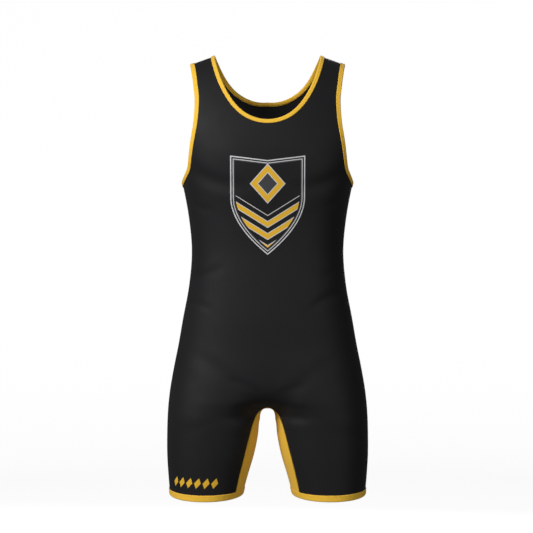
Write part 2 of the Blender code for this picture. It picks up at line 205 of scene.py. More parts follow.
def smooth(knots, values, at):
    """A value read between its knots, on cubic curves that pass through every knot."""
    slopes = np.gradient(values, knots)
    low = np.clip(np.searchsorted(knots, at) - 1, 0, len(knots) - 2)
    span = knots[low + 1] - knots[low]
    t = (at - knots[low]) / span
    start = (1 + 2 * t) * (1 - t) ** 2 * values[low] + t * (1 - t) ** 2 * span * slopes[low]
    end = t * t * (3 - 2 * t) * values[low + 1] - t * t * (1 - t) * span * slopes[low + 1]
    return start + end


def figure(column, drop):
    """One measure of the figure, so far below the shoulder."""
    return smooth(FIGURE[:, DOWN], FIGURE[:, column], drop)


def fall(way):
    """The height lost by going that way down: a quarter turn over the shoulder, then straight."""
    turn = np.minimum(way / SHOULDER_ROLL, math.pi / 2)
    return SHOULDER_ROLL * (1 - np.cos(turn)) + np.maximum(way - SHOULDER_ROLL * math.pi / 2, 0)


def way_down(drop):
    """The way down the cloth that loses this much height, the reverse of fall."""
    turn = np.arccos(1 - np.clip(drop / SHOULDER_ROLL, 0, 1))
    return SHOULDER_ROLL * turn + np.maximum(drop - SHOULDER_ROLL, 0)


def angle_at(across, drop):
    """The angle round the section at a distance from the middle plane: the arc sine of its share of the
    section's reach."""
    centre = figure(CENTRE, drop)
    reach = figure(HALF_WIDTH, drop) - centre
    return np.arcsin(np.clip((across - centre) / reach, -1, 1))


def hem_arch(angle, drop):
    """How much the cloth rises from the middle of the leg to its sides, which makes the hem an arch. It
    goes with the square of the angle's sine and of the share of the way to the hem."""
    near_hem = np.maximum(drop - ARCHED_FROM, 0) / (LEG_END - ARCHED_FROM)
    return HEM_ARCH * (near_hem * np.sin(angle)) ** 2


def body_point(angle, way, side):
    """The surface that the cloth lies on. Across goes with the sine of the angle and depth with its
    cosine, a little fuller than an ellipse. Depth also goes with the sine of the turn over the shoulder,
    the ridge slopes, and the cloth bridges the dip where the legs part."""
    drop = fall(way)
    half_width, centre = figure(HALF_WIDTH, drop), figure(CENTRE, drop)
    reach = half_width - centre
    across = centre + reach * np.sin(angle)
    bridge = figure(BRIDGE, drop) * (1 - (across / half_width) ** 2) ** 2
    shift = (np.sqrt(across**2 + bridge**2) - across) / reach
    sine = np.sin(angle) + shift
    narrowed = 1 - shift * (2 * np.sin(angle) + shift) / np.maximum(np.cos(angle) ** 2, 1e-9)
    oval = np.cos(angle) * np.sqrt(np.maximum(narrowed, 0)) * (1 + figure(SQUARE, drop) * sine**2)
    oval = oval * (1 - figure(TUCK, drop) * np.exp(-((across / TUCK_REACH) ** 2)))
    turn = np.minimum(way / SHOULDER_ROLL, math.pi / 2)
    depth = figure(side, drop) * (-1 if side == FRONT else 1)
    lift = SHOULDER_SLOPE * (STRAP_MIDDLE - across) * np.cos(turn) ** 2 + hem_arch(angle, drop)
    return np.stack([across, depth * oval * np.sin(turn), lift - drop], axis=-1)


def unit(vectors):
    return vectors / np.linalg.norm(vectors, axis=-1, keepdims=True)


def directions(angle, way, side):
    """How the surface runs with the angle and with the way down, from small steps each way, and its
    outward normal, which is square to both."""
    step = 1e-5
    round_it = (body_point(angle + step, way, side) - body_point(angle - step, way, side)) / (2 * step)
    down_it = (body_point(angle, way + step, side) - body_point(angle, way - step, side)) / (2 * step)
    outward = unit(np.cross(round_it, down_it)) * (-1 if side == FRONT else 1)
    return round_it, down_it, outward


def fold_depth(points, side):
    """How deep the folds press the cloth in. Across a fold the depth is a bell with raised shoulders,
    along it a flatter bell fades both ends, and near the side and shoulder seams it goes to nothing."""
    x, y, z = points[..., 0], points[..., 1], points[..., 2]
    depth = np.zeros(x.shape)
    for start, end, bow, width, deep in FOLDS[side]:
        run = np.subtract(end, start)
        length = np.hypot(*run)
        along = ((x - start[0]) * run[0] + (z - start[1]) * run[1]) / length**2
        off = ((x - start[0]) * run[1] - (z - start[1]) * run[0]) / length
        spread = ((off - bow * 4 * along * (1 - along)) / width) ** 2
        depth += deep * (1 - 0.7 * spread) * np.exp(-spread - (2 * along - 1) ** 4)
    return depth * (1 - np.exp(-((y / FOLDS_START) ** 2)))


def on_cloth(angle, way, side, hand):
    """A place on the worn cloth: the figure's surface on that hand, less the folds' depth."""
    flip = np.array([hand, 1, 1])
    points = body_point(angle, way, side) * flip
    outward = directions(angle, way, side)[2] * flip
    return points - outward * fold_depth(points, side)[..., None]


def line_through(rows, at):
    """A smooth line through a table's rows, level where it starts, read at row numbers. It gives the
    rows' first measure and the way down."""
    first, second = rows[0], rows[1]
    before = (2 * first[0] - second[0], second[1])
    table = np.array([before, *rows])
    numbers = np.arange(-1.0, len(rows))
    return smooth(numbers, table[:, 0], at), smooth(numbers, way_down(table[:, 1]), at)


def neck_edge(side, at):
    across, way = line_through(FRONT_NECK if side == FRONT else BACK_NECK, at)
    return angle_at(across, fall(way)), way


def armhole_edge(side, at):
    degrees, way = line_through(FRONT_ARMHOLE if side == FRONT else BACK_ARMHOLE, at)
    return np.radians(degrees), way


def gusset_edge(side, at):
    across, way = line_through(GUSSET_SEAM, at)
    return angle_at(across, fall(way)), way


def moved_in(edge, side, at, width):
    """An edge moved sideways along the cloth by a width, towards the hem where that is positive. The
    sideways step is square to the edge, and is split into a turn and a way down."""
    angle, way = edge(side, at)
    ahead = body_point(*edge(side, at + STATION_STEP), side)
    behind = body_point(*edge(side, at - STATION_STEP), side)
    round_it, down_it, outward = directions(angle, way, side)
    inward = np.cross(unit(ahead - behind), outward) * (1 if side == FRONT else -1) * width
    across_round = np.cross(outward, round_it)
    across_down = np.cross(down_it, outward)
    turned = np.sum(inward * across_down, axis=-1) / np.sum(round_it * across_down, axis=-1)
    lowered = np.sum(inward * across_round, axis=-1) / np.sum(down_it * across_round, axis=-1)
    return angle + turned, way + lowered


def side_seam(way, side):
    """The angle of a panel's edge at the side seam, a gap short of the quarter turn."""
    drop = fall(way)
    return math.pi / 2 - SEAM_GAP / (figure(side, drop) * (1 + figure(SQUARE, drop)))


def middle(way):
    """The angle at the middle plane."""
    return angle_at(0.0, fall(way))


def neck_stations(side):
    """Along the neck's edge and along its binding's lower edge, from the middle to the shoulder."""
    last = len(FRONT_NECK if side == FRONT else BACK_NECK) - 1
    at = np.linspace(0, last, STRAP_ROWS + 1)
    edge = neck_edge(side, at)
    foot = moved_in(neck_edge, side, at, NECK_BINDING)
    foot[0][0] = middle(foot[1][0])
    foot[1][-1] = 0
    return edge, foot


def armhole_stations(side):
    """Along the armhole's edge and along its binding's inner edge, from the underarm up."""
    last = len(FRONT_ARMHOLE) - 1
    low = np.linspace(0, STRAP_ARMHOLE_ROW, CHEST_ROWS + 1)
    high = np.linspace(STRAP_ARMHOLE_ROW, last, STRAP_ROWS + 1)[1:]
    at = np.concatenate([low, high])
    edge = armhole_edge(side, at)
    foot = moved_in(armhole_edge, side, at, -ARM_BINDING)
    foot[0][0] = math.pi / 2
    foot[1][-1] = 0
    return edge, foot


def panel_grid(side):
    """Angle and way at every corner of half a panel, a row for each line across it from the hem up. The
    first column is the neck's bound edge and the last is the armhole's, where there is one."""
    low_rows = np.append(SEAM_AT_BAND + 1.0, np.linspace(SEAM_AT_BAND, 0, LEG_ROWS + 1))
    seam_angle, seam_way = moved_in(gusset_edge, side, low_rows, -2 * SEAM_GAP)
    seam_angle[-1] = middle(seam_way[-1])
    seam_way[:2] = way_down(np.array([LEG_END, LEG_END - LEG_BAND]))
    neck, neck_foot = neck_stations(side)
    armhole, armhole_foot = armhole_stations(side)
    up_trunk = np.linspace(0, 1, TRUNK_ROWS + 1)[1:]
    up_chest = np.linspace(0, 1, CHEST_ROWS + 1)[1:-1]
    chest_start, neck_low = way_down(CHEST_START), neck_foot[1][0]
    trunk_way = seam_way[-1] + (chest_start - seam_way[-1]) * up_trunk**ROWS_CLOSE_UP
    chest_way = chest_start + (neck_low - chest_start) * up_chest
    inner_way = np.concatenate([seam_way, trunk_way, chest_way, neck_foot[1]])
    inner_angle = np.concatenate([seam_angle, middle(trunk_way), middle(chest_way), neck_foot[0]])
    leg_way = np.append(way_down(LEG_END), way_down(np.linspace(LEG_END - LEG_BAND, HIP, LEG_ROWS + 1)))
    flank_way = leg_way[-1] + (armhole_foot[1][0] - leg_way[-1]) * up_trunk
    outer_way = np.concatenate([leg_way, flank_way, armhole_foot[1][1:]])
    outer_angle = np.concatenate([np.full(len(leg_way) + len(flank_way), math.pi / 2), armhole_foot[0][1:]])
    across = np.linspace(0, 1, ACROSS + 1)
    angle = np.full((len(inner_way), ACROSS + 3), np.nan)
    way = angle.copy()
    angle[:, 1:-1] = inner_angle[:, None] + (outer_angle - inner_angle)[:, None] * across
    way[:, 1:-1] = inner_way[:, None] + (outer_way - inner_way)[:, None] * across
    angle[-len(neck[0]) :, 0], way[-len(neck[1]) :, 0] = neck
    angle[-len(armhole[0]) :, -1], way[-len(armhole[1]) :, -1] = armhole
    way[-1] = RIDGE_GAP
    return np.fmin(angle, side_seam(way, side)), way


def round_from_middle(angle, way, side):
    """The distance round the body from the middle plane, the sum of short steps at one height."""
    start = middle(way)
    turns = start + (angle - start) * np.linspace(0, 1, STEPS_ROUND)[:, None]
    points = body_point(turns, np.broadcast_to(way, turns.shape), side)
    return np.linalg.norm(np.diff(points, axis=0), axis=-1).sum(axis=0)


def grid_faces(numbers, flipped):
    """The squares between the points of a grid, without those that lack a corner."""
    first, second, third, fourth = numbers[:-1, :-1], numbers[:-1, 1:], numbers[1:, 1:], numbers[1:, :-1]
    corners = np.stack([first, second, third, fourth], axis=-1)
    corners = corners[corners.min(axis=-1) >= 0]
    return corners[:, ::-1] if flipped else corners


def placed(name, data):
    """A new object in the scene."""
    made = bpy.data.objects.new(name, data)
    bpy.context.scene.collection.objects.link(made)
    return made


def sewn(name, mesh, finish, weld=None, turn_out=True):
    """A piece of a mesh: points closer than the weld distance are joined, the faces are turned outwards,
    and the piece gets its finish and rides on the garment."""
    work = bmesh.new()
    work.from_mesh(mesh)
    if weld:
        bmesh.ops.remove_doubles(work, verts=work.verts, dist=weld)
    if turn_out:
        bmesh.ops.recalc_face_normals(work, faces=work.faces)
    work.to_mesh(mesh)
    work.free()
    mesh.shade_smooth()
    mesh.materials.append(finish)
    made = placed(name, mesh)
    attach(made, "root")
    return made


def cloth_piece(name, points, faces, places, finish, wall=None):
    """A sheet or strip: its points and faces, a UV map that holds its places on the cloth in metres, and
    its finish. Halves that meet are welded, and a sheet gets its thickness inwards."""
    mesh = bpy.data.meshes.new(name)
    mesh.from_pydata(points.tolist(), [], faces.tolist())
    corners = np.empty(len(mesh.loops), dtype=np.int32)
    mesh.loops.foreach_get("vertex_index", corners)
    cloth_map = mesh.uv_layers.new(name="cloth")
    cloth_map.uv.foreach_set("vector", places[corners].astype(np.float32).ravel())
    made = sewn(name, mesh, finish, weld=MERGE, turn_out=wall is None)
    if wall is not None:
        solidify = made.modifiers.new("cloth", "SOLIDIFY")
        solidify.thickness = wall
        solidify.offset = -1
    return made


def panel(name, side, finish):
    """The front or the back, both halves, as a sheet with a wall."""
    angle, way = panel_grid(side)
    there = ~np.isnan(angle)
    count = int(there.sum())
    numbers = np.where(there, np.cumsum(there).reshape(there.shape) - 1, -1)
    from_middle = round_from_middle(angle[there], way[there], side)
    points, places, faces = [], [], []
    for hand in (1, -1):
        half = on_cloth(angle[there], way[there], side, hand)
        points.append(half)
        places.append(np.stack([from_middle * hand, -way[there]], axis=-1))
        numbered = np.where(numbers >= 0, numbers + len(faces) * count, -1)
        faces.append(grid_faces(numbered, (side == BACK) == (hand == 1)))
    points = np.concatenate(points)
    return cloth_piece(name, points, np.concatenate(faces), np.concatenate(places), finish, CLOTH)


class Wire:
    """A value in a finish's node tree. Sums and products of wires add the tree's Math nodes."""

    def __init__(self, tree, socket=None):
        self.tree = tree
        self.socket = socket

    def node(self, kind, settings, inputs, output=0):
        """Adds a node of a type, with its settings and the values or wires of its sockets."""
        made = self.tree.nodes.new(kind)
        for name, value in settings.items():
            setattr(made, name, value)
        for key, value in inputs.items():
            if isinstance(value, Wire):
                self.tree.links.new(value.socket, made.inputs[key])
            else:
                made.inputs[key].default_value = value
        return Wire(self.tree, made.outputs[output])

    def maths(self, operation, *others):
        return self.node("ShaderNodeMath", {"operation": operation}, dict(enumerate((self, *others))))

    def __add__(self, other):
        return self.maths("ADD", other)

    def __sub__(self, other):
        return self.maths("SUBTRACT", other)

    def __rsub__(self, other):
        return self.node("ShaderNodeMath", {"operation": "SUBTRACT"}, {0: other, 1: self})

    def __mul__(self, other):
        return self.maths("MULTIPLY", other)

    def __truediv__(self, other):
        return self.maths("DIVIDE", other)

    def __pow__(self, other):
        return self.maths("POWER", other)

    def __abs__(self):
        return self.maths("ABSOLUTE")

    __rmul__ = __mul__

    def parts(self):
        """The three components of a place, each as a wire."""
        split = self.node("ShaderNodeSeparateXYZ", {}, {0: self}).socket.node
        return [Wire(self.tree, output) for output in split.outputs]

    def above(self, level, softness):
        """1 where the value is above the level and 0 below it, with a soft step between."""
        rise = (self - level) / softness + 0.5
        return rise.node("ShaderNodeClamp", {}, {0: rise})

    def blend(self, first, second):
        """The first colour where this value is 0 and the second where it is 1."""
        return self.node("ShaderNodeMix", {"data_type": "RGBA"}, {0: self, 6: first, 7: second}, output=2)


def new_finish(name, roughness, sheen):
    """A cloth material with little gloss: the material, its shader, and a wire to start from."""
    finish = bpy.data.materials.new(name)
    finish.use_nodes = True
    shader = finish.node_tree.nodes["Principled BSDF"]
    shader.inputs["Roughness"].default_value = roughness
    shader.inputs["Specular IOR Level"].default_value = 0.12
    shader.inputs["Sheen Weight"].default_value = sheen
    shader.inputs["Sheen Roughness"].default_value = 0.45
    return finish, shader, Wire(finish.node_tree)


def cloth_places(wire):
    """How far round and how far down the cloth a place is, in metres, from the piece's own UV map."""
    places = wire.node("ShaderNodeUVMap", {"uv_map": "cloth"}, {})
    round_it, down_it, _ = places.parts()
    return round_it, down_it, places


def knit(round_it, down_it):
    """The jersey's loops: upright ribs, each with slanting legs that make a row of small Vs."""
    rib, row = 0.0011, 0.0009
    from_rib = (round_it / rib).maths("PINGPONG", 0.5) * 2
    legs = ((down_it / row + from_rib * 0.5) * (2 * math.pi)).maths("COSINE")
    return (1 - from_rib * from_rib) * 0.6 + legs * 0.2


def noise(places, scale, detail):
    return places.node("ShaderNodeTexNoise", {}, {"Vector": places, "Scale": scale, "Detail": detail})


def dress(finish, shader, places, height, colour, strength):
    """Joins a finish's colour and its raised loops to the shader."""
    tree = finish.node_tree
    bump = height.node("ShaderNodeBump", {}, {"Strength": strength, "Distance": 0.0004, "Height": height})
    tree.links.new(bump.socket, shader.inputs["Normal"])
    tree.links.new(colour.socket, shader.inputs["Base Color"])
    worn = noise(places, 34.0, 3.0) * 0.14 + (shader.inputs["Roughness"].default_value - 0.07)
    tree.links.new(worn.socket, shader.inputs["Roughness"])


def black_jersey(name, printed=None):
    """Matt black jersey: near black yarn, lighter in soft cloudy patches, with painted highlight on the
    loops.
    """
    finish, shader, wire = new_finish(name, 0.58, 0.02)
    round_it, down_it, places = cloth_places(wire)
    loops = knit(round_it, down_it)
    # Painted highlight and shade: the colour is lighter on the raised loops and darker between them, over
    # the yarn's own cloudy tone
    tone_and_loop_shade = noise(places, 9.0, 2.0) * 0.5 + loops * 0.4
    colour = tone_and_loop_shade.blend((0.0090, 0.0090, 0.0098, 1), (0.0155, 0.0155, 0.0168, 1))
    if printed:
        colour = printed(colour, round_it, down_it, loops)
    dress(finish, shader, places, loops + noise(places, 700.0, 2.0) * 0.5, colour, 0.22)
    return finish


BADGE_TOP = -0.187
BADGE_HEIGHT = 0.177
BADGE_HALF_WIDTH = 0.067
PRINT_YELLOW = (0.700, 0.400, 0.030, 1)
PRINT_LIGHT_GREY = (0.560, 0.560, 0.565, 1)
PRINT_DARK_GREY = (0.050, 0.050, 0.054, 1)
PRINT_LINE = 0.0014
EDGE = 0.0004


def outlined(inside, cloth, fill, line=PRINT_LINE):
    """A filled shape with a light outline of some width. Inside is the distance in from its edge."""
    edged = inside.above(0.0, EDGE).blend(cloth, PRINT_LIGHT_GREY)
    return inside.above(line, EDGE).blend(edged, fill)


def in_shield(across, down):
    """How far in from a shield's edge a place is. The top dips to the middle. The sides are upright at
    first, and then close in with a power of the distance down. The distance to a side is the one across,
    divided by the length of a step along the side that goes down by one."""
    dip, power, upright_share = 0.0085, 1.9, 0.42
    upright, closing = upright_share * BADGE_HEIGHT, (1 - upright_share) * BADGE_HEIGHT
    low = ((down - upright) / closing).maths("MAXIMUM", 0.0)
    half_width = BADGE_HALF_WIDTH * (1 - low**power)
    slope = low ** (power - 1) * (BADGE_HALF_WIDTH * power / closing)
    from_side = (half_width - across) / (slope * slope + 1).maths("SQRT")
    from_top = down - (dip - across * (dip / BADGE_HALF_WIDTH)).maths("MAXIMUM", 0.0)
    return from_side.maths("MINIMUM", from_top)


def chest_badge(cloth, across, down):
    """A shield with a double outline that holds a lozenge and three chevrons. A lozenge's edge is where
    the distance across and a share of the one down add up to its reach, and a share of what is left is
    the distance in from it. A chevron is a band of the height less a share of the distance across."""
    outer_line, inner_line_in, plain_in, field_in = 0.0020, 0.0046, 0.0080, 0.0100
    lozenge_down, reach, down_share, left_share = 0.0500, 0.0320, 0.9, 0.74
    core_in, core_line = 0.0100, 0.0012
    chevrons_down, chevrons_top, pitch, slope, gap = 0.1120, 0.0060, 0.0215, 0.62, 0.0046
    inside = in_shield(across, down)
    colour = outlined(inside, cloth, cloth, outer_line)
    colour = outlined(inside - inner_line_in, colour, PRINT_DARK_GREY)
    colour = inside.above(plain_in, EDGE).blend(colour, cloth)
    lozenge = (reach - across - abs(down - lozenge_down) * down_share) * left_share
    colour = outlined(lozenge, colour, PRINT_YELLOW)
    colour = outlined(lozenge - core_in, colour, PRINT_DARK_GREY, core_line)
    height = chevrons_down - down - across * slope
    band = (height / pitch).maths("PINGPONG", 0.5) * pitch - gap
    field = (chevrons_top - height).above(0.0, EDGE) * inside.above(field_in, EDGE)
    colour = (field * band.above(0.0, EDGE)).blend(colour, PRINT_LIGHT_GREY)
    return (field * band.above(PRINT_LINE, EDGE)).blend(colour, PRINT_YELLOW)


def hem_row(cloth, round_it, down_it):
    """A row of upright lozenges above the hem of one leg, one for each pitch."""
    pitch, count, first = 0.0158, 6, -0.1985
    half_width, half_height, middle_drop = 0.0062, 0.0098, 0.7775
    along = (round_it - first) / pitch
    in_row = along.above(0.0, 0.001) * (count - along).above(0.0, 0.001)
    from_centre = abs(along.maths("FRACT") - 0.5) * (pitch / half_width)
    from_line = abs(down_it + way_down(middle_drop)) / half_height
    return ((1 - from_centre - from_line).above(0.0, 0.06) * in_row).blend(cloth, PRINT_YELLOW)


def front_print(cloth, round_it, down_it, loops):
    """The badge on the chest and the row above the hem, shaded a little by the jersey's loops."""
    sideways, _, up = cloth.node("ShaderNodeTexCoord", {}, {}, output=3).parts()
    colour = hem_row(chest_badge(cloth, abs(sideways), BADGE_TOP - up), round_it, down_it)
    shade = 1 - loops * 0.10
    return colour.node("ShaderNodeVectorMath", {"operation": "SCALE"}, {0: colour, "Scale": shade})


black = black_jersey("black_jersey")
front = panel("front", FRONT, black_jersey("black_jersey_printed", front_print))
# The print is only on the outer face, so the wall's inner face and its rims are plain
front.data.materials.append(black)
front.modifiers["cloth"].material_offset = 1
front.modifiers["cloth"].material_offset_rim = 1
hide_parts("front_panel")

# Back panel: the same black jersey in one piece, with a higher neck and armholes cut in a little further.
# It is hidden in the photograph, so it is plain, with folds like the front's at the waist and the seat.
back = panel("back", BACK, black)
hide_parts("back_panel")

# Gusset: one strip of yellow jersey from one hem up the inner thigh, under the crotch and down to the
# other hem. It is narrow under the crotch and widest halfway down the thigh, and it is sewn to both
# panels along its two long edges.
ARCH_TOP = 0.6495
ARCH_ENDS_AT = 2.5
ARCH_BLUNTNESS = 0.6
CROTCH_WRAP = math.radians(68)
GUSSET_ACROSS = 16


def gusset_half(side, hand):
    """Half of the gusset from a seam to its fold line, a row for each station from the middle to the
    hem. On the leg the rows are level, and under the crotch they fan round an arch: an ellipse whose
    measure across is raised to a power, which makes it blunt. Across a row the depth falls as an oval's
    does, and the seam's fold fades out."""
    at = np.append(np.linspace(0, SEAM_AT_BAND, LEG_ROWS + 1), SEAM_AT_BAND + 1)
    seam_angle, seam_way = gusset_edge(side, at)
    seam = body_point(seam_angle, seam_way, side)
    pressed = on_cloth(seam_angle, seam_way, side, hand) * np.array([hand, 1, 1]) - seam
    drop = fall(seam_way)
    arch_foot = fall(line_through(GUSSET_SEAM, ARCH_ENDS_AT)[1])
    square = figure(SQUARE, drop)
    arch = np.clip(at / ARCH_ENDS_AT, 0, 1)
    in_arch, quarter = arch < 1, arch * math.pi / 2
    inner_thigh = 2 * figure(CENTRE, drop) - figure(HALF_WIDTH, drop)
    arch_reach = 2 * figure(CENTRE, arch_foot) - figure(HALF_WIDTH, arch_foot)
    fold_across = np.where(in_arch, arch_reach * np.sin(quarter) ** ARCH_BLUNTNESS, inner_thigh)
    fold_drop = np.where(in_arch, arch_foot - (arch_foot - ARCH_TOP) * np.cos(quarter), drop)
    fold_rise = hem_arch(-math.pi / 2, drop)
    leg_wrap = np.abs(angle_at(seam[:, 0], np.maximum(drop, arch_foot)))
    wrap = (leg_wrap + (CROTCH_WRAP - leg_wrap) * (1 - arch))[:, None]
    turned = wrap + (math.pi / 2 - wrap) * np.linspace(0, 1, GUSSET_ACROSS + 1)
    share = ((np.sin(turned) - np.sin(wrap)) / (1 - np.sin(wrap)))[..., None]
    seam_flat, fold_flat = seam[:, [0, 2]], np.stack([fold_across, fold_rise - fold_drop], axis=-1)
    flat = seam_flat[:, None] + (fold_flat - seam_flat)[:, None] * share

    def oval(angle):
        return np.cos(angle) * (1 + square[:, None] * np.sin(angle) ** 2)

    deep = seam[:, 1][:, None] * oval(turned) / oval(wrap)
    half = np.stack([flat[..., 0], deep, flat[..., 1]], axis=-1)
    return (half + pressed[:, None] * (1 - share) ** 2) * np.array([hand, 1, 1])


def yellow_jersey(name, rib):
    """Matt golden yellow jersey, with painted shade between the loops. On a binding the ribs run across the
    strip, so the two directions change places."""
    finish, shader, wire = new_finish(name, 0.58, 0.12)
    round_it, down_it, places = cloth_places(wire)
    loops = knit(down_it, round_it) if rib else knit(round_it, down_it)
    # Painted shade and highlight: the colour is darker between the loops and lighter on them, over the
    # yarn's own cloudy tone
    tone_and_loop_shade = noise(places, 14.0, 2.0) * 0.5 + loops * 0.5
    colour = tone_and_loop_shade.blend((0.730, 0.425, 0.032, 1), (0.870, 0.530, 0.060, 1))
    dress(finish, shader, places, loops + noise(places, 700.0, 2.0) * 0.4, colour, 0.25)
    return finish


def gusset(finish):
    """Both hands' strips, front and back, welded at the fold lines and at the middle."""
    points, places, faces = [], [], []
    for hand in (1, -1):
        front_half, back_half = gusset_half(FRONT, hand), gusset_half(BACK, hand)
        grid = np.concatenate([front_half, back_half[:, -2::-1]], axis=1)
        over = np.linalg.norm(np.diff(grid, axis=1), axis=-1)
        over = np.concatenate([np.zeros((len(grid), 1)), np.cumsum(over, axis=1)], axis=1)
        over = over - over[:, -1:] / 2
        down = np.cumsum(np.linalg.norm(np.diff(grid[:, GUSSET_ACROSS], axis=0), axis=-1))
        down = np.append(0, down)[:, None] * -hand
        numbers = np.arange(over.size).reshape(over.shape) + len(points) * over.size
        faces.append(grid_faces(numbers, hand == -1))
        places.append(np.stack(np.broadcast_arrays(over, down), axis=-1).reshape(-1, 2))
        points.append(grid.reshape(-1, 3))
    points, places, faces = (np.concatenate(parts) for parts in (points, places, faces))
    return cloth_piece("crotch_gusset", points, faces, places, finish, CLOTH)


yellow = yellow_jersey("yellow_jersey", rib=False)
crotch_gusset = gusset(yellow)
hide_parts("gusset")

# Neck and armhole bindings: yellow strips, folded lengthwise over the raw edge and sewn through. Each
# has an outer leaf, the fold beyond the edge and an inner leaf, and it swells a little between stitches.
BINDING_LEAF = 0.0009
LEAF_OUT = 0.0003
LEAF_IN = -CLOTH - 0.0005
FOLD_OVER = 0.0013
SWELL = 0.00007
# Each place on the section: its share of the strip's width, what is added to it, and its height
BINDING_SECTION = (
    (0.00, 0.0000, LEAF_OUT),
    (0.00, -0.0002, LEAF_OUT + 0.0004),
    (0.00, 0.0003, LEAF_OUT + BINDING_LEAF),
    (0.10, 0.0000, LEAF_OUT + BINDING_LEAF + 0.0001),
    (0.20, 0.0000, LEAF_OUT + BINDING_LEAF - 0.0001),
    (0.38, 0.0000, LEAF_OUT + BINDING_LEAF + 0.0003),
    (0.56, 0.0000, LEAF_OUT + BINDING_LEAF - 0.0001),
    (0.76, 0.0000, LEAF_OUT + BINDING_LEAF + 0.0004),
    (0.94, 0.0000, LEAF_OUT + BINDING_LEAF + 0.0003),
    (1.00, 0.0005, LEAF_OUT + BINDING_LEAF - 0.0002),
    (1.00, 0.0010, LEAF_OUT + 0.0001),
    (1.00, FOLD_OVER, -0.0006),
    (1.00, 0.0010, LEAF_IN - 0.0002),
    (1.00, 0.0004, LEAF_IN - BINDING_LEAF + 0.0002),
    (0.92, 0.0000, LEAF_IN - BINDING_LEAF),
    (0.60, 0.0000, LEAF_IN - BINDING_LEAF - 0.0001),
    (0.30, 0.0000, LEAF_IN - BINDING_LEAF),
    (0.00, 0.0003, LEAF_IN - BINDING_LEAF),
    (0.00, -0.0001, LEAF_IN - 0.0004),
    (0.00, 0.0000, LEAF_IN),
    (1.00, 0.0002, LEAF_IN),
    (1.00, 0.0003, LEAF_OUT),
)


def bound_edge(stations, hand):
    """A bound edge that runs up the front, over the shoulder and down the back: its edge, its foot where
    the binding ends, and the outward normals."""
    lines = []
    for side in (FRONT, BACK):
        edge, foot = stations(side)
        keep = slice(None) if side == FRONT else slice(-2, None, -1)
        half_way = [(a + b) / 2 for a, b in zip(edge, foot)]
        outward = directions(*half_way, side)[2] * np.array([hand, 1, 1])
        lines.append([on_cloth(*edge, side, hand)[keep], on_cloth(*foot, side, hand)[keep], outward[keep]])
    return [np.concatenate(parts) for parts in zip(*lines)]


def neck_ring():
    """Round the neck: up over one shoulder to the back's middle, and home over the other."""
    first, second = bound_edge(neck_stations, 1), bound_edge(neck_stations, -1)
    ring = [np.concatenate([a, b[-2:0:-1]]) for a, b in zip(first, second)]
    for line in ring:
        line[[0, len(first[0]) - 1], 0] = 0
    return ring


def armhole_ring(hand):
    return [line[:-1] for line in bound_edge(armhole_stations, hand)]


def section_axes(edge, foot, outward):
    """Across the strip from its foot to the edge, how wide it is, and up from the cloth."""
    width = np.linalg.norm(edge - foot, axis=-1, keepdims=True)
    over = (edge - foot) / width
    up = unit(outward - over * np.sum(outward * over, axis=-1, keepdims=True))
    return width, over, up


def sweep_faces(stations, corners, closed):
    """The squares round a tube of rings. A closed tube's last ring joins its first."""
    numbers = np.arange(stations * corners).reshape(stations, corners)
    numbers = np.append(numbers, numbers[:, :1], axis=1)
    if closed:
        numbers = np.append(numbers, numbers[:1], axis=0)
    return grid_faces(numbers, False)


def binding(name, ring, finish):
    """A folded strip: its section is carried round the ring, and its places are the distance along the
    ring and the distance round the section."""
    edge, foot, outward = ring
    width, over, up = section_axes(edge, foot, outward)
    far = np.cumsum(np.linalg.norm(edge - np.roll(edge, 1, axis=0), axis=-1))
    swell = SWELL * (np.sin(far * 2 * math.pi / 0.0127) + np.sin(far * 2 * math.pi / 0.0083 + 1))[:, None]
    rows = np.array(BINDING_SECTION)
    along = rows[:, 0] * width + rows[:, 1]
    height = rows[:, 2] + swell * (rows[:, 2] > LEAF_OUT + 0.0005)
    points = foot[:, None] + over[:, None] * along[..., None] + up[:, None] * height[..., None]
    section = np.cumsum(np.linalg.norm(np.diff(points[0], axis=0, prepend=points[0][-1:]), axis=-1))
    places = np.stack(np.broadcast_arrays(far[:, None], section), axis=-1)
    faces = sweep_faces(*points.shape[:2], closed=True)
    made = cloth_piece(name, points.reshape(-1, 3), faces, places.reshape(-1, 2), finish)
    return made


yellow_strip = yellow_jersey("yellow_binding", rib=True)
rings = {"neck": neck_ring(), "armhole_left": armhole_ring(1), "armhole_right": armhole_ring(-1)}
neck_strip = binding("neck_strip", rings["neck"], yellow_strip)
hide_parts("neck_binding")
for end in ("left", "right"):
    strip = binding(f"armhole_strip_{end}", rings[f"armhole_{end}"], yellow_strip)
    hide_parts(f"armhole_binding_{end}")

# Hem bands: the same yellow strip, a little wider, folded over the raw end of each leg. The band goes all
# round the leg, over both panels and the gusset, and it holds the hem flat against the thigh.
GUSSET_STEPS, PANEL_STEPS = 14, 88


def leg_ring(hand):
    """Round a leg at the hem: out from the fold line over the front, and in again over the back. The
    panels' part follows their folds, and the gusset's part is the plain surface."""
    lines = []
    for row, level in ((SEAM_AT_BAND + 1.0, LEG_END), (SEAM_AT_BAND + 0.0, LEG_END - LEG_BAND)):
        points, normals = [], []
        for side in (FRONT, BACK):
            seam = gusset_edge(side, row)[0]
            over_gusset = np.linspace(-math.pi / 2, seam, GUSSET_STEPS)[:-1]
            over_panel = np.linspace(seam, math.pi / 2, PANEL_STEPS)
            turns = np.concatenate([over_gusset, over_panel])
            turns = turns if side == FRONT else turns[-2:0:-1]
            way = np.full(turns.shape, way_down(level))
            points.append(on_cloth(turns, way, side, hand))
            normals.append(directions(turns, way, side)[2] * np.array([hand, 1, 1]))
        lines += [np.concatenate(points), np.concatenate(normals)]
    return [lines[0], lines[2], lines[3]]


rings["leg_left"], rings["leg_right"] = leg_ring(1), leg_ring(-1)
for end in ("left", "right"):
    strip = binding(f"hem_strip_{end}", rings[f"leg_{end}"], yellow_strip)
    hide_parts(f"hem_band_{end}")

